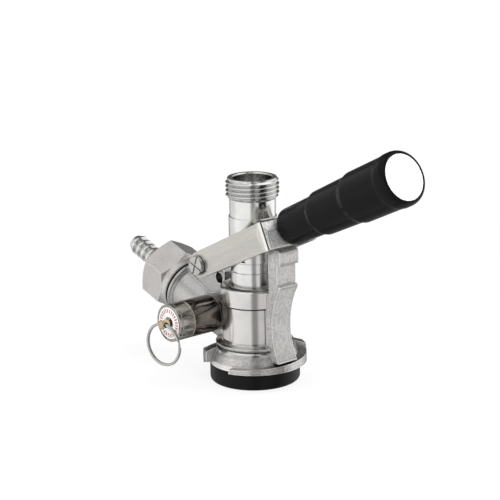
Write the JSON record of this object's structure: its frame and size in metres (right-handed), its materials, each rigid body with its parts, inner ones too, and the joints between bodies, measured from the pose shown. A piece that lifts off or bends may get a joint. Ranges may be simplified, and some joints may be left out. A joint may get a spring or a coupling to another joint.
{
  "type": "keg coupler",
  "caption": "Keg coupler: sliding probe moved by a hinged lever with a pull-out latch grip, bayonet base with rubber seal, barbed gas inlet and a relief valve with a pull ring.",
  "frame": {"origin": "centre of the flat lower face of the base seal, on the probe's axis", "axes": "+Z along the probe towards the beer outlet, +X towards the lever's grip, -X towards the gas inlet, -Y towards the relief valve's ring"},
  "size_m": [0.1792, 0.0582, 0.1126],
  "materials": {
    "cast_steel": "satin",
    "turned_steel": "polished",
    "blasted_steel": "matte",
    "dark_steel": "polished",
    "bright_wire": "polished",
    "spring_steel": "satin",
    "brass": "satin",
    "black_grip": "gloss",
    "white_disc": "satin",
    "white_plastic": "matte",
    "black_rubber": "satin"
  },
  "bodies": {
    "root": {"body": "cast_steel", "base_seal": "black_rubber", "gland_bush": "turned_steel", "body_oring": "black_rubber", "hinge_screws": "turned_steel", "gas_nut": "blasted_steel", "gas_tailpiece": "turned_steel", "gas_washer": "black_rubber", "gas_check_valve": "black_rubber", "relief_body": "dark_steel", "relief_gasket": "black_rubber", "relief_cap": "dark_steel", "relief_disc": "white_disc", "relief_spring": "spring_steel"},
    "probe": {"probe": "turned_steel", "probe_seal": "black_rubber", "ball_retainer": "turned_steel"},
    "ball": {"check_ball": "white_plastic"},
    "lever": {"lever_yoke": "cast_steel", "stem_washer": "turned_steel", "stem_nut": "turned_steel", "latch_spring": "spring_steel"},
    "grip": {"latch_block": "cast_steel", "grip": "black_grip", "grip_disc": "white_disc"},
    "valve_stem": {"relief_stem": "brass", "relief_poppet": "black_rubber"},
    "ring": {"pull_ring": "bright_wire"}
  },
  "joints": [
    {"name": "lever_swing", "type": "hinge", "parent": "root", "child": "lever", "pos_m": [-0.0213, 0, 0.0488], "axis": [0, 1, 0], "range_deg": [0, 20]},
    {"name": "probe_slide", "type": "slide", "parent": "root", "child": "probe", "axis": [0, 0, -1], "range_m": [0, 0.0078]},
    {"name": "ball_lift", "type": "slide", "parent": "probe", "child": "ball", "axis": [0, 0, 1], "range_m": [0, 0.003]},
    {"name": "grip_pull", "type": "slide", "parent": "lever", "child": "grip", "axis": [0.9026, 0, 0.4305], "range_m": [0, 0.005], "stiffness_N_per_m": 1000, "springref_m": -0.004, "deforming": ["latch_spring"]},
    {"name": "prv_pull", "type": "slide", "parent": "root", "child": "valve_stem", "axis": [0, -1, 0], "range_m": [0, 0.003], "stiffness_N_per_m": 800, "springref_m": -0.004, "deforming": ["relief_spring"]},
    {"name": "ring_swing", "type": "hinge", "parent": "valve_stem", "child": "ring", "pos_m": [-0.0195, -0.0347, 0.0268], "axis": [-0.9848, -0.1736, 0], "range_deg": [0, 90]}
  ],
  "couplings": [
    {"joint": "probe_slide", "follows": "lever_swing", "m_per_rad": 0.022222}
  ]
}
